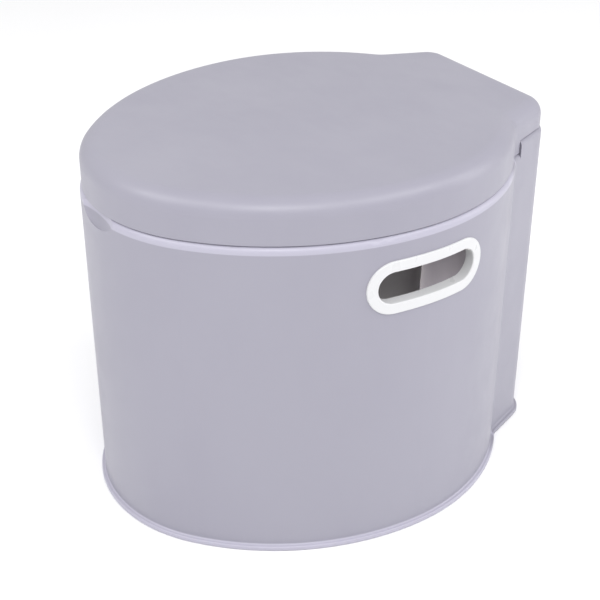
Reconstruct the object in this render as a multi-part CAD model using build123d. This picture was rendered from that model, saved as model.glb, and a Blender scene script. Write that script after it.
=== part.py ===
"""Portable camp toilet: a moulded housing with a hung bucket, a hinged seat and a hinged lid.

Frame: millimetres, +Z up, front towards -Y, hinge side towards +Y, symmetric about X = 0.
The origin is the centre of the footprint box, on the floor.
"""

import os
from math import atan2, cos, degrees, radians, sin, sqrt

from build123d import *

# Plan outline of the lid skirt, a chain of tangent arcs. Reaches are from the widest line.
HALF_WIDTH = 183.0
FRONT_REACH = 229.0
REAR_REACH = 212.0
NOSE_RADIUS = 142.0
QUARTER_RADIUS = 199.0
NECK_RADIUS = 18.0
TAB_HALF_WIDTH = 87.0
FLANK_ANGLE = 22.0
TAB_CORNER_RADIUS = 25.0

# Heights above the floor and above the seam.
BODY_HEIGHT = 323.0
LID_HEIGHT = 41.0
TAB_STEP = 13.0
SEAM_GAP = 0.8

# Housing shell.
WALL = 3.0
DECK_THICKNESS = 3.5
RIM_LEDGE = 2.0
RIM_ROUND = 5.5
FOOT_FLARE = 4.0
FOOT_LIP = 4.0
FOOT_BLEND = 8.0
FOOT_EDGE_ROUND = 1.5
SCOOP_HALF_WIDTH = 36.0
SCOOP_DEPTH = 7.0
SCOOP_DROP = 16.0

# Foot pads, set into the underside of the foot.
PAD_PROUD = 1.0
PAD_THICKNESS = 2.4
PAD_WIDTH = 5.0
PAD_EDGE = 1.5
PAD_LENGTH = 60.0
PAD_ANGLES = (40.0, 140.0, 225.0, 315.0)

# Handle cut-outs and their bezels.
HANDLE_BACK = 0.0
HANDLE_DROP = 49.5
GRIP_LENGTH = 105.0
GRIP_HEIGHT = 31.0
BEZEL_BAND = 10.5
BEZEL_PROUD = 1.8
BEZEL_ROUND = 1.2
SLEEVE_WALL = 2.5
SLEEVE_DEPTH = 9.0
SLEEVE_CLEARANCE = 0.3

# Bucket, hung by its flange on the deck.
BUCKET_BACK = -30.0
BUCKET_RADIUS = 136.0
BUCKET_TAPER = 14.0
BUCKET_WALL = 2.4
BUCKET_LIFT = 16.0
BUCKET_CLEARANCE = 2.0
BUCKET_BOTTOM_ROUND = 12.0
FLANGE_OVERHANG = 10.0
FLANGE_THICKNESS = 3.0

# Bail wire, its ears on the flange and its grip.
EAR_THICKNESS = 6.0
EAR_LENGTH = 12.0
EAR_EDGE = 2.0
WIRE_RADIUS = 2.0
WIRE_CLEARANCE = 0.2
WIRE_BEND = 5.0
WIRE_STICK_IN = 3.0
WIRE_STAND_OUT = 6.5
WIRE_RISE = 6.8
GRIP_RADIUS = 5.8
GRIP_ARC = 42.0

# Seat ring.
SEAT_INSET = 9.0
SEAT_WALL = 3.0
SEAT_EDGE_ROUND = 8.0
SEAT_REAR_GAP = 6.0
SEAT_REAR_ROUND = 22.0
HOLE_HALF_WIDTH = 98.0
HOLE_HALF_LENGTH = 118.0

# Rubber bumpers and the bosses that hold them.
BUMPER_HEIGHT = 5.5
BUMPER_RADIUS = 5.0
BUMPER_EDGE_ROUND = 1.0
STEM_RADIUS = 2.5
STEM_LENGTH = 4.0
BOSS_WALL = 1.0
SEAT_BUMPER_ANGLE = 56.0
SEAT_BUMPER_GAP = 1.2
SEAT_BUMPER_REAR = (112.0, 110.0)
LID_BUMPER_FRONT = (133.0, -66.0)
LID_BUMPER_REAR = (122.0, 76.0)

# Lid shell.
LID_WALL = 3.0
LID_EDGE_ROUND = 16.0

# Hinges behind the tab's rear face.
KNUCKLE_RADIUS = 4.0
PIN_RADIUS = 2.0
PIN_CLEARANCE = 0.05
PIN_HEAD_RADIUS = 3.2
PIN_HEAD = 1.4
AXIS_STAND_OFF = 0.6
AXIS_DROP = 1.0
KNUCKLE_LENGTH = 8.0
KNUCKLE_GAP = 0.5
HINGE_START = 12.0
ARM_UNDERSIDE = 1.5
ARM_HEIGHT = 11.0
NOTCH_CLEARANCE = 1.0
GUSSET_DROP = 18.0

# Largest share of a flat that a fillet may take.
FILLET_SHARE = 0.9

# How close two lengths are to count as the same.
SAME = 1e-6

# Share of a radius that lies along each axis half way round a quarter.
DIAGONAL = sqrt(0.5)

# A cutting solid larger than the whole object.
BEYOND = 2 * (FRONT_REACH + REAR_REACH + HALF_WIDTH + BODY_HEIGHT + LID_HEIGHT)

# Places worked out from the sizes above.
AXIS_BACK = RIM_LEDGE + AXIS_STAND_OFF + KNUCKLE_RADIUS
FRONT_OVERHANG = RIM_LEDGE + FOOT_FLARE
REAR_OVERHANG = max(FRONT_OVERHANG, AXIS_BACK + KNUCKLE_RADIUS)
WIDE_Y = (FRONT_REACH + FRONT_OVERHANG - REAR_REACH - REAR_OVERHANG) / 2
REAR_Y = WIDE_Y + REAR_REACH
SEAM_Z = BODY_HEIGHT
TAB_Z = SEAM_Z + TAB_STEP
LID_TOP = SEAM_Z + LID_HEIGHT
AXIS_Y = REAR_Y + AXIS_BACK
AXIS_Z = TAB_Z - AXIS_DROP
BUCKET_Y = WIDE_Y + BUCKET_BACK
FLANGE_RADIUS = BUCKET_RADIUS + FLANGE_OVERHANG
FLANGE_TOP = SEAM_Z + FLANGE_THICKNESS
WIRE_Z = FLANGE_TOP + WIRE_RISE
EAR_OUTER = FLANGE_RADIUS - EAR_EDGE
EAR_INNER = EAR_OUTER - EAR_THICKNESS
BAIL_RADIUS = EAR_OUTER + WIRE_STAND_OUT
SEAT_BOTTOM = SEAM_Z + BUMPER_HEIGHT
SEAT_THICKNESS = LID_HEIGHT - LID_WALL - STEM_LENGTH - 2 * BUMPER_HEIGHT
SEAT_TOP = SEAT_BOTTOM + SEAT_THICKNESS
HANDLE_Y = WIDE_Y + HANDLE_BACK
HANDLE_Z = SEAM_Z - HANDLE_DROP
BOSS_RADIUS = BUMPER_RADIUS + BOSS_WALL
FOOT_OFFSET = RIM_LEDGE + FOOT_FLARE
SLEEVE_LENGTH = GRIP_LENGTH + 2 * SLEEVE_WALL
SLEEVE_HEIGHT = GRIP_HEIGHT + 2 * SLEEVE_WALL


def outline_arcs():
    """Centre, radius, start angle and sweep of each arc of the right half, nose to tab.

    The nose and side arcs touch from inside, and the hollow neck arc touches the rear
    quarter and the tab's flank line, so every joint in the chain is smooth.
    """
    nose_y = NOSE_RADIUS - FRONT_REACH
    side_radius = (HALF_WIDTH**2 + FRONT_REACH**2 - 2 * FRONT_REACH * NOSE_RADIUS) / (
        2 * (HALF_WIDTH - NOSE_RADIUS)
    )
    side_x = HALF_WIDTH - side_radius
    nose_end = degrees(atan2(nose_y, -side_x))
    lean = radians(FLANK_ANGLE)
    quarter_x = HALF_WIDTH - QUARTER_RADIUS
    flank = cos(lean) * TAB_HALF_WIDTH + sin(lean) * REAR_REACH
    out = flank + NECK_RADIUS - cos(lean) * quarter_x
    along = sqrt((QUARTER_RADIUS + NECK_RADIUS) ** 2 - out**2)
    neck_x = quarter_x + out * cos(lean) - along * sin(lean)
    neck_y = out * sin(lean) + along * cos(lean)
    quarter_end = degrees(atan2(neck_y, neck_x - quarter_x))
    corner_y = REAR_REACH - TAB_CORNER_RADIUS
    corner_x = (flank - TAB_CORNER_RADIUS - sin(lean) * corner_y) / cos(lean)
    return {
        "nose": ((0, nose_y), NOSE_RADIUS, -180 - nose_end, 180 + 2 * nose_end),
        "side": ((side_x, 0), side_radius, nose_end, -nose_end),
        "quarter": ((quarter_x, 0), QUARTER_RADIUS, 0, quarter_end),
        "neck": ((neck_x, neck_y), -NECK_RADIUS, quarter_end + 180, FLANK_ANGLE - quarter_end),
        "corner": ((corner_x, corner_y), TAB_CORNER_RADIUS, FLANK_ANGLE, 90 - FLANK_ANGLE),
    }


def grown_arc(name, offset):
    """One arc of the outline with its radius grown by offset about the same centre."""
    centre, radius, start, sweep = outline_arcs()[name]
    return CenterArc(centre, abs(radius + offset), start, sweep)


def outline(offset, height):
    """Plan outline grown outward by offset, as a face at a height."""
    side, quarter, neck, corner = [
        grown_arc(name, offset) for name in ("side", "quarter", "neck", "corner")
    ]
    half = [side, quarter, neck, Line(neck @ 1, corner @ 0), corner]
    other_half = [mirror(edge, about=Plane.YZ) for edge in half]
    rear = Line(corner @ 1, mirror(corner, about=Plane.YZ) @ 1)
    face = make_face([grown_arc("nose", offset), *half, rear, *other_half])
    return Pos(0, WIDE_Y, height) * face


def prism(offset, low, high):
    """Upright solid of the grown outline between two heights."""
    return extrude(outline(offset, low), amount=high - low, dir=(0, 0, 1))


def behind(y):
    """Half-space block behind a Y station."""
    return Pos(0, y + BEYOND / 2, 0) * Box(BEYOND, BEYOND, BEYOND)


def above(z):
    """Half-space block above a height."""
    return Pos(0, 0, z + BEYOND / 2) * Box(BEYOND, BEYOND, BEYOND)


def edges_at(solid, height):
    """Edges of a solid whose middle is at a height."""
    return solid.edges().filter_by_position(Axis.Z, height - SAME, height + SAME)


def upright(radius, x, y, low, high):
    """Cylinder along Z between two heights."""
    return Pos(x, y, (low + high) / 2) * Cylinder(radius, high - low)


def crosswise(radius, near, far, y, z):
    """Cylinder along X between two stations."""
    return Pos((near + far) / 2, y, z) * Rot(0, 90, 0) * Cylinder(radius, far - near)


def crosswise_profile(points, near, far):
    """Solid with a YZ profile between two X stations."""
    loop = Polyline(*[(near, y, z) for y, z in points], close=True)
    return extrude(make_face(loop), amount=far - near, dir=(1, 0, 0))


def step_y():
    """Front of the raised tab column, at the middle of the neck."""
    return WIDE_Y + outline_arcs()["neck"][0][1]


def round_ended(side, length, height, near, far):
    """Round-ended prism along X on one side, at the handle, between two distances out."""
    plane = Plane(origin=(side * near, HANDLE_Y, HANDLE_Z), x_dir=(0, 1, 0), z_dir=(side, 0, 0))
    return extrude(plane * SlotOverall(length, height), amount=far - near)


def stations(side):
    """X range of each knuckle of one hinge."""
    ranges = {}
    for index, name in enumerate(("inner", "seat", "lid", "outer")):
        near = HINGE_START + index * (KNUCKLE_LENGTH + KNUCKLE_GAP)
        far = near + KNUCKLE_LENGTH
        ranges[name] = (near, far) if side > 0 else (-far, -near)
    return ranges


def knuckle(x_range, web):
    """Hinge knuckle with its web, bored for the pin."""
    barrel = crosswise(KNUCKLE_RADIUS, *x_range, AXIS_Y, AXIS_Z)
    body = barrel + crosswise_profile(web, *x_range)
    return body - crosswise(PIN_RADIUS + PIN_CLEARANCE, -BEYOND, BEYOND, AXIS_Y, AXIS_Z)


def housing_web():
    """YZ corners of the gusset from the housing's rear wall to the axis."""
    touch = KNUCKLE_RADIUS * DIAGONAL
    wall = REAR_Y + RIM_LEDGE - WALL / 2
    return [
        (wall, AXIS_Z - RIM_ROUND),
        (AXIS_Y, AXIS_Z),
        (AXIS_Y + touch, AXIS_Z - touch),
        (wall, AXIS_Z - GUSSET_DROP),
    ]


def arm_web(root):
    """YZ corners of an arm from a root Y, over the column's rim, to the axis."""
    touch = KNUCKLE_RADIUS * DIAGONAL
    return [
        (root, TAB_Z + ARM_UNDERSIDE),
        (AXIS_Y - touch, TAB_Z + ARM_UNDERSIDE),
        (AXIS_Y, AXIS_Z),
        (AXIS_Y + touch, AXIS_Z + touch),
        (REAR_Y, TAB_Z + ARM_HEIGHT),
        (root, TAB_Z + ARM_HEIGHT),
    ]


def rounded_prism(offset, low, high, radius):
    """Upright solid of the grown outline with its top edge rounded."""
    body = prism(offset, low, high)
    return fillet(edges_at(body, high), radius)


def scoop(grow):
    """Shallow rounded hollow at the front of the rim, grown for its lining."""
    radius = SCOOP_HALF_WIDTH + grow
    shares = (1, (SCOOP_DEPTH + grow) / radius, (SCOOP_DROP + grow) / radius)
    return Pos(0, WIDE_Y - FRONT_REACH - RIM_LEDGE, SEAM_Z) * scale(Sphere(radius), by=shares)


def foot_pad(angle):
    """Strip of the foot's underside, centred at an angle about the widest line's middle."""
    outer = FOOT_OFFSET - PAD_EDGE
    ring = prism(outer, 0, PAD_THICKNESS) - prism(outer - PAD_WIDTH, 0, PAD_THICKNESS)
    sector = Pos(BEYOND / 2, 0, 0) * Box(BEYOND, PAD_LENGTH, BEYOND)
    return ring & (Pos(0, WIDE_Y, 0) * Rot(0, 0, angle) * sector)


def foot():
    """Wall stump with its flared foot lip blended into it."""
    lip_top = PAD_PROUD + FOOT_LIP
    lip = prism(FOOT_OFFSET, PAD_PROUD, lip_top)
    lip = fillet(edges_at(lip, lip_top), FOOT_EDGE_ROUND)
    body = lip + prism(RIM_LEDGE, PAD_PROUD, lip_top + FOOT_BLEND * 2)
    shelf = next(face for face in body.faces() if face.inner_wires())
    flat = FOOT_FLARE - FOOT_EDGE_ROUND
    return fillet(shelf.inner_wires()[0].edges(), min(FOOT_BLEND, FILLET_SHARE * flat))


def housing_hollow():
    """Inside of the housing: open below, under the deck, up into the tab column."""
    inner = RIM_LEDGE - WALL
    main = prism(inner, -BEYOND, SEAM_Z - DECK_THICKNESS)
    column = prism(inner, SEAM_Z - 2 * DECK_THICKNESS, TAB_Z - DECK_THICKNESS)
    well = upright(BUCKET_RADIUS + BUCKET_CLEARANCE, 0, BUCKET_Y, 0, BEYOND)
    return main + (column & behind(step_y() + WALL)) + well - scoop(WALL)


def housing():
    """Open-bottomed shell with deck, tab column, flared foot, cut-outs and hinge knuckles."""
    shell = rounded_prism(RIM_LEDGE, PAD_PROUD, SEAM_Z, RIM_ROUND)
    column = rounded_prism(RIM_LEDGE, PAD_PROUD, TAB_Z, RIM_ROUND)
    shell = shell + (column & behind(step_y())) + foot()
    shell = shell - housing_hollow() - scoop(0)
    for side in (1, -1):
        shell = shell - round_ended(side, SLEEVE_LENGTH + 2 * SLEEVE_CLEARANCE,
                                    SLEEVE_HEIGHT + 2 * SLEEVE_CLEARANCE, HALF_WIDTH / 2, BEYOND)
        for name in ("inner", "outer"):
            shell = shell + knuckle(stations(side)[name], housing_web())
    for angle in PAD_ANGLES:
        shell = shell - foot_pad(angle)
    return shell


def skin_rims(solid, offset):
    """Edges that bound the skin that a solid shares with the walls grown by offset."""
    radii = [outline_arcs()[name][1] + offset for name in ("side", "quarter")]
    skin = [face for face in solid.faces().filter_by(GeomType.CYLINDER)
            if min(abs(face.radius - radius) for radius in radii) < SAME]
    edges = [edge for face in skin for edge in face.edges()]
    return [edge for edge in edges if sum(edge.is_same(other) for other in edges) == 1]


def handle_bezel(side):
    """Round-ended bezel that follows the wall, with a sleeve through it."""
    face = RIM_LEDGE + BEZEL_PROUD
    low = HANDLE_Z - GRIP_HEIGHT
    high = HANDLE_Z + GRIP_HEIGHT
    skin = prism(face, low, high) - prism(RIM_LEDGE, low, high)
    plate = skin & round_ended(side, GRIP_LENGTH + 2 * BEZEL_BAND, GRIP_HEIGHT + 2 * BEZEL_BAND,
                               HALF_WIDTH / 2, BEYOND)
    through = prism(face, low, high) - prism(RIM_LEDGE - SLEEVE_DEPTH, low, high)
    sleeve = through & round_ended(side, SLEEVE_LENGTH, SLEEVE_HEIGHT, HALF_WIDTH / 2, BEYOND)
    opening = round_ended(side, GRIP_LENGTH, GRIP_HEIGHT, HALF_WIDTH / 2, BEYOND)
    ring = plate + sleeve - opening
    return fillet(skin_rims(ring, face), BEZEL_ROUND)


def bucket():
    """Tapered round bucket with a flange and two ears for the bail."""
    base = BUCKET_LIFT
    height = SEAM_Z - base
    low_radius = BUCKET_RADIUS - BUCKET_TAPER
    outer = Pos(0, BUCKET_Y, base + height / 2) * Cone(low_radius, BUCKET_RADIUS, height)
    outer = fillet(edges_at(outer, base), BUCKET_BOTTOM_ROUND)
    inner = Pos(0, BUCKET_Y, base + height / 2) * Cone(
        low_radius - BUCKET_WALL, BUCKET_RADIUS - BUCKET_WALL, height)
    inner = fillet(edges_at(inner, base), BUCKET_BOTTOM_ROUND - BUCKET_WALL)
    flange = upright(FLANGE_RADIUS, 0, BUCKET_Y, SEAM_Z, FLANGE_TOP)
    mouth = upright(BUCKET_RADIUS - BUCKET_WALL, 0, BUCKET_Y,
                    SEAM_Z - FLANGE_THICKNESS, FLANGE_TOP)
    body = outer + flange - Pos(0, 0, BUCKET_WALL) * inner - mouth
    for side in (1, -1):
        body = body + ear(side)
    return body


def ear(side):
    """Lug on the flange that holds one end of the bail."""
    near, far = (EAR_INNER, EAR_OUTER) if side > 0 else (-EAR_OUTER, -EAR_INNER)
    post = Pos((near + far) / 2, BUCKET_Y, (FLANGE_TOP + WIRE_Z) / 2) * Box(
        EAR_THICKNESS, EAR_LENGTH, WIRE_Z - FLANGE_TOP)
    crown = crosswise(EAR_LENGTH / 2, near, far, BUCKET_Y, WIRE_Z)
    hole = crosswise(WIRE_RADIUS + WIRE_CLEARANCE, near, far, BUCKET_Y, WIRE_Z)
    return post + crown - hole


def ring_arc(ring_radius, wire_radius, centre, start, sweep):
    """Part of a round-section ring lying flat, about a centre, from a start angle."""
    section = Plane.XZ * Pos(ring_radius, 0, 0) * Circle(wire_radius)
    arc = revolve(section, Axis.Z, revolution_arc=sweep)
    return Pos(*centre) * Rot(0, 0, start) * arc


def bail():
    """Bail wire folded back over the flange, its ends turned in through the ears."""
    arc_x = BAIL_RADIUS
    wire = ring_arc(arc_x, WIRE_RADIUS, (0, BUCKET_Y + WIRE_BEND, WIRE_Z), 0, 180)
    for side in (1, -1):
        start = 270 if side > 0 else 180
        centre = (side * (arc_x - WIRE_BEND), BUCKET_Y + WIRE_BEND, WIRE_Z)
        wire = wire + ring_arc(WIRE_BEND, WIRE_RADIUS, centre, start, 90)
        tip = side * (EAR_INNER - WIRE_STICK_IN)
        bend = side * (arc_x - WIRE_BEND)
        wire = wire + crosswise(WIRE_RADIUS, min(tip, bend), max(tip, bend), BUCKET_Y, WIRE_Z)
    return wire


def bail_grip():
    """Moulded tube on the middle of the bail."""
    centre = (0, BUCKET_Y + WIRE_BEND, WIRE_Z)
    start = 90 - GRIP_ARC / 2
    tube = ring_arc(BAIL_RADIUS, GRIP_RADIUS, centre, start, GRIP_ARC)
    return tube - ring_arc(BAIL_RADIUS, WIRE_RADIUS + WIRE_CLEARANCE, centre, start, GRIP_ARC)


def seat_bumper_places():
    """Centres of the seat's bumpers: two in the front band, two at the rear."""
    reach = FLANGE_RADIUS + SEAT_BUMPER_GAP + BOSS_RADIUS
    turn = radians(SEAT_BUMPER_ANGLE)
    front_x = reach * cos(turn)
    front_y = BUCKET_Y - reach * sin(turn)
    rear_x, rear_back = SEAT_BUMPER_REAR
    rear_y = WIDE_Y + rear_back
    return [(front_x, front_y), (-front_x, front_y), (rear_x, rear_y), (-rear_x, rear_y)]


def lid_bumper_places():
    """Centres of the lid's bumpers over the seat ring."""
    places = []
    for x, back in (LID_BUMPER_FRONT, LID_BUMPER_REAR):
        places += [(x, WIDE_Y + back), (-x, WIDE_Y + back)]
    return places


def bumper(place, low):
    """Rubber button with a stem that plugs into its boss."""
    head = upright(BUMPER_RADIUS, *place, low, low + BUMPER_HEIGHT)
    head = fillet(edges_at(head, low), BUMPER_EDGE_ROUND)
    return head + upright(STEM_RADIUS, *place, low + BUMPER_HEIGHT,
                          low + BUMPER_HEIGHT + STEM_LENGTH)


def boss(place, low, high):
    """Round boss with a blind hole for a bumper's stem."""
    return upright(BOSS_RADIUS, *place, low, high) - upright(
        STEM_RADIUS, *place, low, low + STEM_LENGTH)


def seat_block(inset, low, high, radius):
    """Solid of the seat's outline, cut short in front of the tab column."""
    rear = step_y() - SEAT_REAR_GAP - (inset - SEAT_INSET)
    body = prism(-inset, low, high) - behind(rear)
    corners = body.edges().filter_by(Axis.Z).group_by(Axis.Y)[-1]
    body = fillet(corners, SEAT_REAR_ROUND - (inset - SEAT_INSET))
    return fillet(edges_at(body, high), radius)


def hole_block(grow, low, high):
    """Oval solid of the seat's hole, grown outward."""
    oval = Ellipse(HOLE_HALF_WIDTH + grow, HOLE_HALF_LENGTH + grow)
    return extrude(Pos(0, BUCKET_Y, low) * oval, amount=high - low)


def seat():
    """Hollow moulded seat ring with its bosses and two hinge arms."""
    body = seat_block(SEAT_INSET, SEAT_BOTTOM, SEAT_TOP, SEAT_EDGE_ROUND)
    body = body - hole_block(0, SEAT_BOTTOM, SEAT_TOP)
    hollow = seat_block(SEAT_INSET + SEAT_WALL, SEAT_BOTTOM, SEAT_TOP - SEAT_WALL,
                        SEAT_EDGE_ROUND - SEAT_WALL)
    hollow = hollow - hole_block(SEAT_WALL, SEAT_BOTTOM, SEAT_TOP)
    body = body - hollow
    for place in seat_bumper_places():
        body = body + boss(place, SEAT_BOTTOM, SEAT_TOP - SEAT_WALL)
    root = step_y() - SEAT_REAR_GAP - SEAT_WALL
    for side in (1, -1):
        body = body + knuckle(stations(side)["seat"], arm_web(root))
    return body


def arm_slot(x_range):
    """Room in the lid's rear skirt for one seat arm."""
    near, far = x_range
    width = far - near + 2 * NOTCH_CLEARANCE
    height = TAB_STEP + ARM_HEIGHT + NOTCH_CLEARANCE
    return Pos((near + far) / 2, REAR_Y, SEAM_Z + height / 2) * Box(width, 3 * LID_WALL, height)


def lid():
    """Lid shell with a stepped skirt, bosses and two hinge ears."""
    low = SEAM_Z + SEAM_GAP
    body = rounded_prism(0, low, LID_TOP, LID_EDGE_ROUND)
    hollow = rounded_prism(-LID_WALL, SEAM_Z, LID_TOP - LID_WALL, LID_EDGE_ROUND - LID_WALL)
    step = behind(step_y() - SEAM_GAP) - above(TAB_Z + SEAM_GAP)
    body = body - hollow - step
    for place in lid_bumper_places():
        body = body + boss(place, SEAT_TOP + BUMPER_HEIGHT, LID_TOP - LID_WALL)
    for side in (1, -1):
        body = body - arm_slot(stations(side)["seat"])
        body = body + knuckle(stations(side)["lid"], arm_web(REAR_Y - LID_WALL))
    return body


def hinge_pin(side):
    """Headed pin through one hinge's four knuckles."""
    ranges = stations(side)
    near = min(ranges["inner"] + ranges["outer"])
    far = max(ranges["inner"] + ranges["outer"])
    pin = crosswise(PIN_RADIUS, near - PIN_HEAD, far + PIN_HEAD, AXIS_Y, AXIS_Z)
    for start, end in ((near - PIN_HEAD, near), (far, far + PIN_HEAD)):
        pin = pin + crosswise(PIN_HEAD_RADIUS, start, end, AXIS_Y, AXIS_Z)
    return pin


def toilet():
    """Every separate piece by node name."""
    pieces = {
        "housing": housing(),
        "handle_bezel_left": handle_bezel(-1),
        "handle_bezel_right": handle_bezel(1),
        "bucket": bucket(),
        "bail": bail(),
        "bail_grip": bail_grip(),
        "seat": seat(),
        "lid": lid(),
        "hinge_pin_left": hinge_pin(-1),
        "hinge_pin_right": hinge_pin(1),
    }
    for number, place in enumerate(seat_bumper_places(), start=1):
        pieces[f"seat_bumper_{number}"] = bumper(place, SEAM_Z)
    for number, place in enumerate(lid_bumper_places(), start=1):
        pieces[f"lid_bumper_{number}"] = bumper(place, SEAT_TOP)
    for number, angle in enumerate(PAD_ANGLES, start=1):
        pieces[f"foot_pad_{number}"] = foot_pad(angle)
    return pieces


def main():
    """Write one STEP file per piece."""
    os.makedirs("parts", exist_ok=True)
    for name, solid in toilet().items():
        solid.label = name
        export_step(solid, f"parts/{name}.step")


if __name__ == "__main__":
    main()
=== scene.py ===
"""Portable camp toilet: finishes, fine pieces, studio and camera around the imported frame."""

import logging
import math
from dataclasses import dataclass
from enum import Enum
from typing import Iterable

import bmesh
import bpy
from mathutils import Matrix, Vector


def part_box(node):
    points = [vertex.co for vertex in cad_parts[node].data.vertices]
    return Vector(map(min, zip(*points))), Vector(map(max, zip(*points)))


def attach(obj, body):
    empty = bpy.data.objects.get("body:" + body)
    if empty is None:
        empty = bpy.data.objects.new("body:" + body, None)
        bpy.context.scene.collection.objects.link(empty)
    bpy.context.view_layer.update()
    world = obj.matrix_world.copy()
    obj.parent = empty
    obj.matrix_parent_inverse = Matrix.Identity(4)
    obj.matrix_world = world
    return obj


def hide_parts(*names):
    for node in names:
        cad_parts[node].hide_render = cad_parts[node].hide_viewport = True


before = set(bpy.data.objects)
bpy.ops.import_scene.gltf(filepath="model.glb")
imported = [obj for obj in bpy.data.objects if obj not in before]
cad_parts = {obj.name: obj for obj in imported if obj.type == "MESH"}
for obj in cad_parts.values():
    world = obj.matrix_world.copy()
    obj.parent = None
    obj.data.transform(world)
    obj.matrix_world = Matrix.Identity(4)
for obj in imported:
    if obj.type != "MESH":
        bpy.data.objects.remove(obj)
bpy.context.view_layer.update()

LOG = logging.getLogger("camp_toilet")
MM = 0.001

WELD = 0.001 * MM
SAME_PLACE = 0.02 * MM

Colour = tuple[float, float, float]
Corner = tuple[float, float]


class Slot(Enum):
    """Material slots of the record that new pieces stand in."""

    BUCKET = "bucket_plastic"
    GRIP = "grip_plastic"
    RUBBER = "rubber"


class Body(Enum):
    """Bodies that the pieces ride on."""

    HOUSING = "housing"
    SEAT = "seat"
    LID = "lid"


class Tone(Enum):
    """Base colours of the finishes and the lighter lilac of the painted highlights, linear."""

    LILAC_GREY = (0.288, 0.280, 0.334)
    LILAC_WORN = (0.350, 0.343, 0.392)
    # Lighter lilac painted over the rim bead, the foot bead and the neck as a painted highlight.
    LILAC_PAINTED_HIGHLIGHT = (0.405, 0.392, 0.470)
    WHITE = (0.620, 0.622, 0.630)
    WHITE_WORN = (0.560, 0.556, 0.548)
    BUCKET_GREY = (0.600, 0.575, 0.575)
    BUCKET_WORN = (0.660, 0.640, 0.640)
    ZINC = (0.640, 0.650, 0.660)
    ZINC_DULL = (0.420, 0.420, 0.425)
    BLACK_RUBBER = (0.028, 0.028, 0.030)
    RUBBER_DUST = (0.090, 0.088, 0.085)


def rgba(colour: Colour) -> tuple[float, float, float, float]:
    """The colour with full alpha."""
    return (*colour, 1.0)


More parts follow.
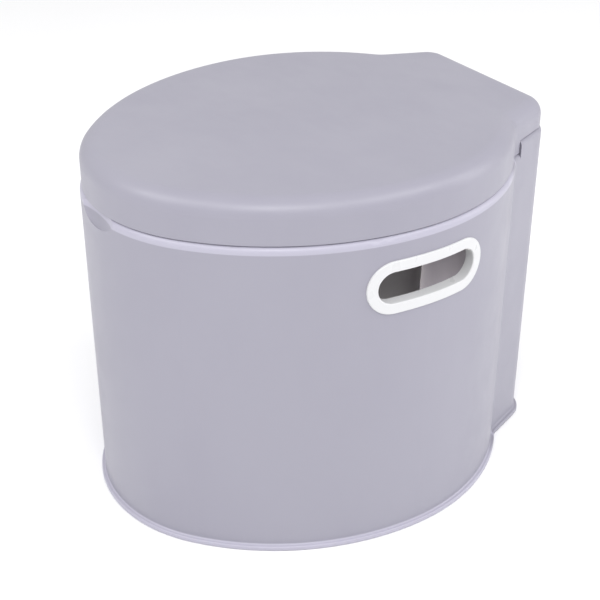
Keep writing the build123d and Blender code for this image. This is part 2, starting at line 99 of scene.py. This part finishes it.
class Graph:
    """A material's node tree with short calls for the nodes that the finishes share."""

    band_blur = 0.4 * MM

    def __init__(self, name: str) -> None:
        """Makes an empty node material.

        Args:
            name: Name of the material.
        """
        self.material = bpy.data.materials.new(name)
        self.material.use_nodes = True
        self.tree = self.material.node_tree
        self.tree.nodes.clear()
        self.shader = self.tree.nodes.new("ShaderNodeBsdfPrincipled")
        output = self.tree.nodes.new("ShaderNodeOutputMaterial")
        self.link(self.shader.outputs["BSDF"], output.inputs["Surface"])
        self.place = self.tree.nodes.new("ShaderNodeTexCoord").outputs["Object"]

    def link(self, source: bpy.types.NodeSocket, target: bpy.types.NodeSocket) -> None:
        """Joins two sockets."""
        self.tree.links.new(source, target)

    def stretched(self, scale: Colour) -> bpy.types.NodeSocket:
        """Object coordinates stretched along each axis.

        Args:
            scale: Factor along X, Y and Z.

        Returns:
            The mapped coordinates.
        """
        node = self.tree.nodes.new("ShaderNodeMapping")
        node.inputs["Scale"].default_value = scale
        self.link(self.place, node.inputs["Vector"])
        return node.outputs["Vector"]

    def noise(self, scale: float, detail: float, place: bpy.types.NodeSocket | None = None,
              roughness: float = 0.55) -> bpy.types.NodeSocket:
        """Fractal noise over the piece.

        Args:
            scale: Cells per metre.
            detail: Octaves.
            place: Coordinates, or the object's own.
            roughness: Weight of the finer octaves.

        Returns:
            The noise value.
        """
        node = self.tree.nodes.new("ShaderNodeTexNoise")
        node.inputs["Scale"].default_value = scale
        node.inputs["Detail"].default_value = detail
        node.inputs["Roughness"].default_value = roughness
        self.link(place or self.place, node.inputs["Vector"])
        return node.outputs["Fac"]

    def grains(self, scale: float) -> bpy.types.NodeSocket:
        """Distance to the nearest of many scattered grains.

        Args:
            scale: Grains per metre.

        Returns:
            The distance value.
        """
        node = self.tree.nodes.new("ShaderNodeTexVoronoi")
        node.inputs["Scale"].default_value = scale
        self.link(self.place, node.inputs["Vector"])
        return node.outputs["Distance"]

    def ramp(self, value: bpy.types.NodeSocket, low: float, high: float,
             start: float = 0.0, end: float = 1.0) -> bpy.types.NodeSocket:
        """Maps a value from one range to another, clamped.

        Args:
            value: Value to map.
            low: Value that gives start.
            high: Value that gives end.
            start: Lowest result.
            end: Highest result.

        Returns:
            The mapped value.
        """
        node = self.tree.nodes.new("ShaderNodeMapRange")
        node.interpolation_type = "SMOOTHSTEP"
        for name, number in (("From Min", low), ("From Max", high),
                             ("To Min", start), ("To Max", end)):
            node.inputs[name].default_value = number
        self.link(value, node.inputs["Value"])
        return node.outputs["Result"]

    def arithmetic(self, operation: str, first: bpy.types.NodeSocket,
                   second: bpy.types.NodeSocket | float) -> bpy.types.NodeSocket:
        """One step of arithmetic.

        Args:
            operation: ADD, MULTIPLY or MAXIMUM.
            first: First value.
            second: Second value, linked or constant.

        Returns:
            The result.
        """
        node = self.tree.nodes.new("ShaderNodeMath")
        node.operation = operation
        self.link(first, node.inputs[0])
        if isinstance(second, float):
            node.inputs[1].default_value = second
        else:
            self.link(second, node.inputs[1])
        return node.outputs[0]

    def along(self, axis: str) -> bpy.types.NodeSocket:
        """The point's coordinate along one axis, X, Y or Z."""
        node = self.tree.nodes.new("ShaderNodeSeparateXYZ")
        self.link(self.place, node.inputs[0])
        return node.outputs[axis]

    def band(self, axis: str, low: float, high: float) -> bpy.types.NodeSocket:
        """Marks the points between two places along an axis.

        Args:
            axis: X, Y or Z.
            low: Lower place in metres.
            high: Upper place in metres.

        Returns:
            1 between the places and 0 outside them, with soft ends.
        """
        blur = self.band_blur
        above = self.ramp(self.along(axis), low - blur, low + blur)
        below = self.ramp(self.along(axis), high + blur, high - blur)
        return self.arithmetic("MULTIPLY", above, below)

    def blend(self, share: bpy.types.NodeSocket, first: Colour | bpy.types.NodeSocket,
              second: Colour) -> bpy.types.NodeSocket:
        """Mixes two colours.

        Args:
            share: Share of the second colour.
            first: Colour where the share is 0, linked or constant.
            second: Colour where the share is 1.

        Returns:
            The mixed colour.
        """
        node = self.tree.nodes.new("ShaderNodeMix")
        node.data_type = "RGBA"
        self.link(share, node.inputs["Factor"])
        if isinstance(first, bpy.types.NodeSocket):
            self.link(first, node.inputs["A"])
        else:
            node.inputs["A"].default_value = rgba(first)
        node.inputs["B"].default_value = rgba(second)
        return node.outputs["Result"]

    def bump(self, heights: bpy.types.NodeSocket, depth: float,
             under: bpy.types.NodeSocket | None = None) -> bpy.types.NodeSocket:
        """Raises the surface by a height pattern.

        Args:
            heights: Pattern from 0 to 1.
            depth: Height of the pattern in metres.
            under: Normal to add to, or none.

        Returns:
            The bumped normal.
        """
        node = self.tree.nodes.new("ShaderNodeBump")
        node.inputs["Distance"].default_value = depth
        self.link(heights, node.inputs["Height"])
        if under is not None:
            self.link(under, node.inputs["Normal"])
        return node.outputs["Normal"]


@dataclass(frozen=True)
class MouldedPlastic:
    """Injection moulded plastic: sparked grain, faint flow tone, handling marks and foot scuffs,
    and, where bands are given, painted highlights on the rim bead, the foot bead and the neck.
    """

    name: str
    colour: Colour
    worn: Colour
    roughness: float
    grain_scale: float = 1500.0
    grain_depth: float = 0.03 * MM
    flow: float = 0.05
    scuff_top: float = 0.0
    # The bands below are painted highlights: lighter lilac over the rim bead, the foot bead and a
    # stripe at the neck.
    painted_highlight_bands: tuple[tuple[float, float], ...] = ()
    painted_highlight_tone: Colour = Tone.LILAC_PAINTED_HIGHLIGHT.value
    painted_highlight_back: float = 150.0 * MM
    painted_highlight_fade: float = 20.0 * MM
    flow_scale: float = 9.0
    rub_scale: float = 55.0
    mark_scale: float = 260.0
    smear_scale: float = 24.0
    painted_neck_highlight: tuple[float, float] = (156.5 * MM, 159.5 * MM)
    ior: float = 1.49

    def build(self) -> bpy.types.Material:
        """Builds the node material.

        Returns:
            The material.
        """
        graph = Graph(self.name)
        flow = graph.noise(self.flow_scale, 3.0, graph.stretched((1.0, 1.0, 0.45)))
        rub = graph.ramp(graph.noise(self.rub_scale, 6.0, roughness=0.7), 0.62, 0.78, 0.0, 0.35)
        if self.scuff_top:
            low = graph.ramp(graph.along("Z"), self.scuff_top, 0.0)
            streaks = graph.noise(self.mark_scale, 5.0, graph.stretched((1.0, 1.0, 0.3)))
            marks = graph.ramp(streaks, 0.50, 0.66)
            rub = graph.arithmetic("MAXIMUM", rub, graph.arithmetic("MULTIPLY", low, marks))
        tone = graph.arithmetic("ADD", graph.arithmetic("MULTIPLY", rub, 0.10),
                                graph.ramp(flow, 0.3, 0.7, 0.0, self.flow * 4.0))
        colour = graph.blend(tone, self.colour, self.worn)
        # Painted highlight: a lighter lilac band over each bead, fading out towards the rear tab,
        # in place of the highlight the bead catches.
        for low, high in self.painted_highlight_bands:
            front = graph.ramp(graph.along("Y"), self.painted_highlight_back, self.painted_highlight_back - self.painted_highlight_fade)
            edge = graph.arithmetic("MULTIPLY", graph.band("Z", low, high), front)
            colour = graph.blend(edge, colour, self.painted_highlight_tone)
        # Painted highlight: a lighter vertical stripe at the neck between the shell and the rear
        # column, from the floor up to the seam.
        if self.painted_highlight_bands:
            painted_neck_highlight = graph.arithmetic("MULTIPLY", graph.band("Y", *self.painted_neck_highlight),
                                      graph.band("Z", 0.0, self.painted_highlight_bands[-1][1]))
            colour = graph.blend(painted_neck_highlight, colour, self.painted_highlight_tone)
        graph.link(colour, graph.shader.inputs["Base Color"])
        wiped = graph.noise(self.smear_scale, 4.0, graph.stretched((1.0, 1.6, 1.0)))
        smear = graph.ramp(wiped, 0.25, 0.75, -0.04, 0.05)
        polish = graph.arithmetic("ADD", smear, graph.arithmetic("MULTIPLY", rub, 0.10))
        graph.link(graph.arithmetic("ADD", polish, self.roughness),
                   graph.shader.inputs["Roughness"])
        coarse = graph.bump(graph.noise(self.grain_scale * 0.25, 2.0), self.grain_depth * 1.6)
        graph.link(graph.bump(graph.grains(self.grain_scale), self.grain_depth, coarse),
                   graph.shader.inputs["Normal"])
        graph.shader.inputs["IOR"].default_value = self.ior
        return graph.material


@dataclass(frozen=True)
class PlatedSteel:
    """Zinc plated wire: drawn lines along the wire, dull spangle and darker rubbed spots."""

    name: str
    colour: Colour
    worn: Colour
    roughness: float = 0.30
    spangle_scale: float = 620.0
    drawn_scale: float = 2600.0
    drawn_depth: float = 0.012 * MM

    def build(self) -> bpy.types.Material:
        """Builds the node material.

        Returns:
            The material.
        """
        graph = Graph(self.name)
        spangle = graph.ramp(graph.noise(self.spangle_scale, 4.0), 0.35, 0.70)
        graph.link(graph.blend(spangle, self.colour, self.worn), graph.shader.inputs["Base Color"])
        graph.link(graph.ramp(spangle, 0.0, 1.0, self.roughness, self.roughness + 0.18),
                   graph.shader.inputs["Roughness"])
        drawn = graph.noise(self.drawn_scale, 2.0, graph.stretched((0.15, 1.0, 1.0)))
        graph.link(graph.bump(drawn, self.drawn_depth), graph.shader.inputs["Normal"])
        graph.shader.inputs["Metallic"].default_value = 1.0
        return graph.material


@dataclass(frozen=True)
class SoftRubber:
    """Matt black rubber with a fine pebble and dust in its hollows."""

    name: str
    colour: Colour
    worn: Colour
    roughness: float = 0.78
    dust_scale: float = 180.0
    pebble_scale: float = 1900.0
    pebble_depth: float = 0.05 * MM
    sheen: float = 0.15
    sheen_roughness: float = 0.5

    def build(self) -> bpy.types.Material:
        """Builds the node material.

        Returns:
            The material.
        """
        graph = Graph(self.name)
        dust = graph.ramp(graph.noise(self.dust_scale, 5.0), 0.48, 0.75)
        graph.link(graph.blend(dust, self.colour, self.worn), graph.shader.inputs["Base Color"])
        graph.link(graph.ramp(dust, 0.0, 1.0, self.roughness, self.roughness + 0.12),
                   graph.shader.inputs["Roughness"])
        graph.link(graph.bump(graph.grains(self.pebble_scale), self.pebble_depth),
                   graph.shader.inputs["Normal"])
        graph.shader.inputs["Sheen Weight"].default_value = self.sheen
        graph.shader.inputs["Sheen Roughness"].default_value = self.sheen_roughness
        return graph.material


class Finishes:
    """Every finish of the toilet, built once."""

    # Heights of the painted highlight bands over the rim bead and the foot bead.
    rim_highlight_band = 8.0 * MM
    foot_highlight_band = 6.0 * MM

    def __init__(self) -> None:
        """Builds the materials."""
        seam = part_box("lid")[0].z
        # Painted highlight bands: the foot bead from the floor up, and the rim bead just under the
        # seam.
        painted_highlight_bands = ((-self.rim_highlight_band, self.foot_highlight_band), (seam - self.rim_highlight_band, seam))
        self.shell = MouldedPlastic(
            "lilac_shell", Tone.LILAC_GREY.value, Tone.LILAC_WORN.value, 0.36, scuff_top=0.030,
            painted_highlight_bands=painted_highlight_bands).build()
        self.top = MouldedPlastic(
            "lilac_top", Tone.LILAC_GREY.value, Tone.LILAC_WORN.value, 0.38).build()
        self.seat = MouldedPlastic(
            "lilac_seat", Tone.LILAC_GREY.value, Tone.LILAC_WORN.value, 0.36).build()
        self.bezel = MouldedPlastic(
            "white_bezel", Tone.WHITE.value, Tone.WHITE_WORN.value, 0.30,
            grain_scale=1800.0, grain_depth=0.01 * MM, flow=0.01).build()
        self.bucket = MouldedPlastic(
            "grey_bucket", Tone.BUCKET_GREY.value, Tone.BUCKET_WORN.value, 0.42,
            grain_depth=0.02 * MM, flow=0.08).build()
        self.grip = MouldedPlastic(
            "white_grip", Tone.WHITE.value, Tone.WHITE_WORN.value, 0.40,
            grain_depth=0.02 * MM).build()
        self.steel = PlatedSteel("zinc_wire", Tone.ZINC.value, Tone.ZINC_DULL.value).build()
        self.rubber = SoftRubber(
            "black_rubber", Tone.BLACK_RUBBER.value, Tone.RUBBER_DUST.value).build()


def dress(node: str, material: bpy.types.Material) -> None:
    """Gives a carried-over node its material.

    Args:
        node: Name of the node.
        material: Its finish.
    """
    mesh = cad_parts[node].data
    mesh.materials.clear()
    mesh.materials.append(material)
    LOG.info("dressed %s in %s", node, material.name)


def publish(name: str, shape: bmesh.types.BMesh, material: bpy.types.Material, body: Body,
            nodes: Iterable[str], smooth: float = math.radians(32)) -> bpy.types.Object:
    """Turns a finished shape into a piece that rides on a body and stands for nodes.

    Args:
        name: Name of the piece.
        shape: The shape, in place; it is freed.
        material: Its finish.
        body: Body that it rides on.
        nodes: Nodes that it stands for.
        smooth: Steepest angle that is shaded smooth.

    Returns:
        The new object.
    """
    bmesh.ops.remove_doubles(shape, verts=shape.verts, dist=WELD)
    bmesh.ops.recalc_face_normals(shape, faces=shape.faces)
    for face in shape.faces:
        face.smooth = True
    for edge in shape.edges:
        edge.smooth = len(edge.link_faces) != 2 or edge.calc_face_angle() < smooth
    mesh = bpy.data.meshes.new(name)
    shape.to_mesh(mesh)
    shape.free()
    mesh.materials.append(material)
    piece = bpy.data.objects.new(name, mesh)
    bpy.context.scene.collection.objects.link(piece)
    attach(piece, body.value)
    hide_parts(*nodes)
    LOG.info("made %s with %d faces", name, len(mesh.polygons))
    return piece


@dataclass(frozen=True)
class Rounding:
    """One corner of a half section to round after it is spun."""

    corner: Corner
    radius: float
    segments: int = 3


@dataclass(frozen=True)
class Turning:
    """A shape spun from a half section about an upright axis."""

    section: tuple[Corner, ...]
    centre: Vector
    steps: int = 96
    rounds: tuple[Rounding, ...] = ()

    def build(self) -> bmesh.types.BMesh:
        """Spins the section and rounds its corners.

        Returns:
            The closed shape.
        """
        shape = bmesh.new()
        points = [shape.verts.new((radius, 0.0, height)) for radius, height in self.section]
        lines = [shape.edges.new(pair) for pair in zip(points, points[1:])]
        bmesh.ops.spin(shape, geom=points + lines, cent=(0, 0, 0), axis=(0, 0, 1),
                       angle=2 * math.pi, steps=self.steps, use_merge=True, use_duplicate=False)
        bmesh.ops.remove_doubles(shape, verts=shape.verts, dist=0.01 * MM)
        for rounding in self.rounds:
            bmesh.ops.bevel(shape, geom=self.ring(shape, rounding.corner), offset=rounding.radius,
                            segments=rounding.segments, profile=0.5, affect="EDGES", material=-1)
        bmesh.ops.translate(shape, verts=shape.verts, vec=self.centre)
        return shape

    def ring(self, shape: bmesh.types.BMesh, corner: Corner) -> list[bmesh.types.BMEdge]:
        """Edges of the circle that a corner of the section sweeps.

        Args:
            shape: The spun shape about its own axis.
            corner: Radius and height of the corner.

        Returns:
            The circle's edges.
        """
        radius, height = corner
        return [edge for edge in shape.edges if all(
            abs(vert.co.xy.length - radius) < SAME_PLACE and abs(vert.co.z - height) < SAME_PLACE
            for vert in edge.verts)]


@dataclass
class HousingShell:
    """The housing with its rubber pads and the white bezels of its hand holes."""

    finishes: Finishes
    pads: int = 4

    def build(self) -> None:
        """Dresses the housing's own nodes."""
        dress("housing", self.finishes.shell)
        for side in ("left", "right"):
            dress(f"handle_bezel_{side}", self.finishes.bezel)
            dress(f"hinge_pin_{side}", self.finishes.steel)
        for number in range(1, self.pads + 1):
            dress(f"foot_pad_{number}", self.finishes.rubber)


@dataclass
class Bucket:
    """The hung bucket: a turned pail with a rolled rim, its ears, its bail and a ribbed grip."""

    finishes: Finishes
    wall: float = 2.4 * MM
    taper: float = 14.0 * MM
    flange: float = 10.0 * MM
    flange_depth: float = 3.0 * MM
    bead: float = 1.2 * MM
    base_round: float = 12.0 * MM
    foot_lift: float = 1.6 * MM
    foot_ring: float = 9.0 * MM
    foot_round: float = 5.0 * MM
    step_share: float = 0.72
    step_depth: float = 0.8 * MM
    step_rise: float = 1.5 * MM
    rim_rise: float = 0.6 * MM
    edge_round: float = 1.0 * MM
    pail_steps: int = 128
    ear_thickness: float = 6.0 * MM
    ear_radius: float = 6.0 * MM
    ear_inset: float = 2.0 * MM
    ear_sink: float = 0.3 * MM
    ear_flat: float = 0.5 * MM
    ear_round: float = 0.8 * MM
    ear_steps: int = 32
    grip_ribs: int = 9
    rib_depth: float = 0.7 * MM
    grip_sides: int = 28
    grip_bore: float = 1.08
    grip_end_round: float = 0.8 * MM
    grip_smooth: float = math.radians(50)

    def build(self) -> None:
        """Makes the pail, its ears and the grip, and dresses the wire."""
        self.pail()
        dress("bail", self.finishes.steel)
        self.grip()

    def pail(self) -> None:
        """Spins the pail with a beaded rim, an inner step and a foot ring, and adds its ears."""
        low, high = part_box("bucket")
        centre = (low + high) / 2
        outer = (high.x - low.x) / 2
        mouth = outer - self.flange
        base = low.z
        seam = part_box("seat_bumper_1")[0].z
        top = seam + self.flange_depth
        foot = mouth - self.taper
        lift = self.foot_lift

        def wall_radius(height: float) -> float:
            """Outer radius of the tapered wall at a height."""
            return foot + self.taper * (height - base) / (seam - base)

        step = base + self.step_share * (seam - base)
        section = (
            (0.0, base + self.wall + lift),
            (wall_radius(base) - self.wall, base + self.wall + lift),
            (wall_radius(step) - self.wall - self.step_depth, step),
            (wall_radius(step) - self.wall, step + self.step_rise),
            (mouth - self.wall, top),
            (outer - 2 * self.bead - self.rim_rise, top),
            (outer - 2 * self.bead, top + self.rim_rise),
            (outer, top + self.rim_rise),
            (outer, seam),
            (mouth, seam),
            (wall_radius(base), base),
            (wall_radius(base) - self.foot_ring, base),
            (wall_radius(base) - self.foot_ring - self.edge_round, base + lift),
            (0.0, base + lift),
        )
        rounds = (
            Rounding(section[1], self.base_round - self.wall, 6),
            Rounding(section[4], self.edge_round),
            Rounding(section[7], self.bead, 4),
            Rounding(section[8], self.edge_round),
            Rounding(section[10], self.foot_round, 5),
        )
        shape = Turning(section, Vector((centre.x, centre.y, 0)), self.pail_steps, rounds).build()
        for side in (1, -1):
            self.ear(shape, side, centre, outer, top)
        publish("bucket_pail", shape, self.finishes.bucket, Body.HOUSING, ["bucket"])

    def ear(self, shape: bmesh.types.BMesh, side: int, centre: Vector, outer: float,
            top: float) -> None:
        """Adds one rounded ear that the bail's end turns in.

        Args:
            shape: The pail to add to.
            side: 1 for right, -1 for left.
            centre: Middle of the pail.
            outer: Radius of the flange.
            top: Height of the flange.
        """
        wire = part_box("bail")
        height = (wire[0].z + wire[1].z) / 2
        thick, half = self.ear_thickness, self.ear_radius
        middle = side * (outer - self.ear_inset - thick / 2)
        crown = bmesh.ops.create_circle(shape, cap_ends=True, segments=self.ear_steps, radius=half,
                                        matrix=Matrix.Rotation(math.pi / 2, 4, "Y"))["verts"]
        for vert in crown:
            if vert.co.z < -self.ear_flat:
                vert.co.z = top - self.ear_sink - height
                if abs(vert.co.y) > half / 2:
                    vert.co.y = math.copysign(half, vert.co.y)
        bmesh.ops.translate(shape, verts=crown,
                            vec=(middle - thick / 2, centre.y, height))
        face = next(iter(set.intersection(*[set(vert.link_faces) for vert in crown])))
        made = bmesh.ops.extrude_face_region(shape, geom=[face])["geom"]
        moved = [item for item in made if isinstance(item, bmesh.types.BMVert)]
        bmesh.ops.translate(shape, verts=moved, vec=(thick, 0, 0))
        rim = {edge for vert in crown + moved for edge in vert.link_edges
               if len({round(end.co.x, 6) for end in edge.verts}) == 1}
        bmesh.ops.bevel(shape, geom=list(rim), offset=self.ear_round, segments=3, profile=0.5,
                        affect="EDGES", material=-1)

    def grip(self) -> None:
        """Sweeps a ribbed tube round the middle of the bail."""
        low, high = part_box("bail_grip")
        wire_low, wire_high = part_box("bail")
        reach = (wire_high.x - wire_low.x) / 2
        thin = (wire_high.z - wire_low.z) / 2
        thick = (high.z - low.z) / 2
        middle = Vector((0, wire_high.y - reach, (high.z + low.z) / 2))
        run = reach - thin
        sweep = 2 * math.asin(high.x / (run + thick))
        steps = 4 * self.grip_ribs + 2
        shape = bmesh.new()
        rings = []
        upright = Matrix.Translation((0, run, 0)) @ Matrix.Rotation(math.pi / 2, 4, "Y")
        for radius in (thick, thin * self.grip_bore):
            verts = bmesh.ops.create_circle(shape, segments=self.grip_sides, radius=radius,
                                            matrix=upright)["verts"]
            rings += list({edge for vert in verts for edge in vert.link_edges})
        bmesh.ops.bridge_loops(shape, edges=rings)
        bmesh.ops.rotate(shape, verts=shape.verts, cent=(0, 0, 0),
                         matrix=Matrix.Rotation(-sweep / 2, 3, "Z"))
        bmesh.ops.spin(shape, geom=shape.verts[:] + shape.edges[:] + shape.faces[:],
                       cent=(0, 0, 0), axis=(0, 0, 1), angle=sweep, steps=steps,
                       use_merge=False, use_duplicate=False)
        for vert in shape.verts:
            turn = math.atan2(vert.co.x, vert.co.y) + sweep / 2
            index = round(turn / sweep * steps)
            spine = Vector((math.sin(turn - sweep / 2), math.cos(turn - sweep / 2), 0)) * run
            away = vert.co - spine
            if away.length > thick / 2 and 1 < index < steps - 1 and index % 4 in (0, 1):
                vert.co = spine + away * (1 - self.rib_depth / away.length)
            elif away.length > thick / 2 and index in (0, steps):
                vert.co = spine + away * (1 - self.grip_end_round / away.length)
        bmesh.ops.translate(shape, verts=shape.verts, vec=middle)
        publish("bail_grip_tube", shape, self.finishes.grip, Body.HOUSING,
                ["bail_grip"], self.grip_smooth)


@dataclass
class Bumpers:
    """Domed rubber buttons under the seat and the lid."""

    finishes: Finishes
    count: int = 4
    dome: float = 1.4 * MM
    stem: float = 2.5 * MM
    stem_length: float = 4.0 * MM
    sole_share: float = 0.62
    shoulder_share: float = 0.9
    clearance: float = 0.02 * MM
    sole_round: float = 0.5 * MM
    edge_round: float = 0.4 * MM
    steps: int = 40

    def build(self) -> None:
        """Makes the buttons of both rings."""
        for body in (Body.SEAT, Body.LID):
            for number in range(1, self.count + 1):
                self.button(body, number)

    def button(self, body: Body, number: int) -> None:
        """Spins one button in the place of its node.

        Args:
            body: Body that it rides on.
            number: Number of the node.
        """
        node = f"{body.value}_bumper_{number}"
        low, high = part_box(node)
        radius = (high.x - low.x) / 2
        neck = high.z - self.stem_length
        sole = low.z + self.clearance
        section = (
            (0.0, sole),
            (radius * self.sole_share, sole),
            (radius * self.shoulder_share, low.z + self.dome * 0.45),
            (radius, low.z + self.dome * 1.4),
            (radius, neck),
            (self.stem, neck),
            (self.stem, high.z),
            (0.0, high.z),
        )
        centre = Vector(((low.x + high.x) / 2, (low.y + high.y) / 2, 0))
        rounds = (
            Rounding(section[1], self.sole_round, 2),
            Rounding(section[4], self.edge_round, 2),
            Rounding(section[6], self.edge_round, 2),
        )
        shape = Turning(section, centre, self.steps, rounds).build()
        publish(f"{node}_button", shape, self.finishes.rubber, body, [node])


@dataclass
class SeatAndLid:
    """The moulded seat ring and the lid."""

    finishes: Finishes

    def build(self) -> None:
        """Dresses the seat and the lid."""
        dress("seat", self.finishes.seat)
        dress("lid", self.finishes.top)


def away_from(azimuth: float, elevation: float) -> Vector:
    """Direction away from the object.

    Args:
        azimuth: Degrees round from the front.
        elevation: Degrees above the floor.

    Returns:
        The unit vector.
    """
    turn, lift = math.radians(azimuth), math.radians(elevation)
    flat = math.cos(lift)
    return Vector((math.sin(turn) * flat, -math.cos(turn) * flat, math.sin(lift)))


@dataclass(frozen=True)
class Softbox:
    """A rectangular studio light aimed at the middle of the object."""

    name: str
    azimuth: float
    elevation: float
    distance: float
    width: float
    height: float
    power: float
    tint: Colour = (0.985, 0.985, 1.0)
    aim: Colour = (0.0, 0.0, 0.2)

    def build(self) -> None:
        """Hangs the light."""
        light = bpy.data.lights.new(self.name, "AREA")
        light.shape = "RECTANGLE"
        light.size = self.width
        light.size_y = self.height
        light.energy = self.power
        light.color = self.tint
        lamp = bpy.data.objects.new(self.name, light)
        away = away_from(self.azimuth, self.elevation)
        lamp.location = Vector(self.aim) + away * self.distance
        lamp.rotation_euler = (-away).to_track_quat("-Z", "Y").to_euler()
        bpy.context.scene.collection.objects.link(lamp)
        LOG.info("hung %s", self.name)


@dataclass
class Studio:
    """Pale floor, even surround, softboxes, the glow through the thin walls, and the camera."""

    sky: float = 0.80
    glow: float = 0.21
    glow_place: Colour = (-0.030, 0.150, 0.060)
    glow_radius: float = 0.03
    glow_tint: Colour = (1.0, 0.95, 0.86)
    floor_half: float = 9.0
    floor_tone: Colour = (0.93, 0.93, 0.935)
    azimuth: float = 57.51
    elevation: float = 30.23
    distance: float = 1.3168
    lens: float = 76.05
    sensor: float = 36.0
    roll: float = 0.02
    target: Colour = (-0.0223, 0.0033, 0.1497)

    def build(self) -> None:
        """Builds the whole studio."""
        bpy.context.scene.view_settings.view_transform = "Standard"
        self.surround()
        self.floor()
        for box in (
            Softbox("front_box", -5.0, 46.0, 2.6, 1.3, 0.9, 20.0),
            Softbox("key_box", 57.0, 46.0, 2.6, 1.3, 0.9, 23.0),
            Softbox("side_box", 118.0, 44.0, 2.6, 1.3, 0.9, 16.0),
            Softbox("rim_box", 152.0, 18.0, 2.3, 0.5, 1.6, 11.0),
        ):
            box.build()
        self.interior()
        self.camera()

    def surround(self) -> None:
        """Lights the scene evenly from all round."""
        world = bpy.data.worlds.new("even_surround")
        world.use_nodes = True
        back = world.node_tree.nodes["Background"]
        back.inputs["Color"].default_value = (1.0, 1.0, 1.0, 1.0)
        back.inputs["Strength"].default_value = self.sky
        bpy.context.scene.world = world

    def interior(self) -> None:
        """Hangs the weak light that the thin walls let into the housing."""
        light = bpy.data.lights.new("wall_glow", "POINT")
        light.energy = self.glow
        light.shadow_soft_size = self.glow_radius
        light.color = self.glow_tint
        lamp = bpy.data.objects.new("wall_glow", light)
        lamp.location = self.glow_place
        bpy.context.scene.collection.objects.link(lamp)

    def floor(self) -> None:
        """Lays a plain pale floor."""
        shape = bmesh.new()
        bmesh.ops.create_circle(shape, cap_ends=True, segments=64, radius=self.floor_half)
        mesh = bpy.data.meshes.new("studio_floor")
        shape.to_mesh(mesh)
        shape.free()
        graph = Graph("pale_floor")
        tone = graph.ramp(graph.noise(3.0, 2.0), 0.3, 0.7)
        near = tuple(0.995 * channel for channel in self.floor_tone)
        graph.link(graph.blend(tone, self.floor_tone, near), graph.shader.inputs["Base Color"])
        graph.shader.inputs["Roughness"].default_value = 0.9
        graph.shader.inputs["Specular IOR Level"].default_value = 0.1
        mesh.materials.append(graph.material)
        floor = bpy.data.objects.new("studio_floor", mesh)
        bpy.context.scene.collection.objects.link(floor)

    def camera(self) -> None:
        """Places the camera by its angles, distance and small roll."""
        away = away_from(self.azimuth, self.elevation)
        lens = bpy.data.cameras.new("studio_camera")
        lens.sensor_width = self.sensor
        lens.lens = self.lens
        lens.clip_end = 50.0
        camera = bpy.data.objects.new("studio_camera", lens)
        place = Vector(self.target) + away * self.distance
        level = (-away).to_track_quat("-Z", "Y").to_matrix()
        tilted = level @ Matrix.Rotation(math.radians(self.roll), 3, "Z")
        camera.matrix_world = Matrix.Translation(place) @ tilted.to_4x4()
        bpy.context.scene.collection.objects.link(camera)
        bpy.context.scene.camera = camera
        LOG.info("camera at %s", tuple(round(value, 4) for value in place))


def main() -> None:
    """Builds the studio and every sub-assembly.
    """
    logging.basicConfig(level=logging.INFO, format="%(name)s: %(message)s")
    Studio().build()
    finishes = Finishes()
    assemblies = (HousingShell(finishes), Bucket(finishes), Bumpers(finishes),
                  SeatAndLid(finishes))
    for assembly in assemblies:
        assembly.build()


if __name__ == "__main__":
    main()
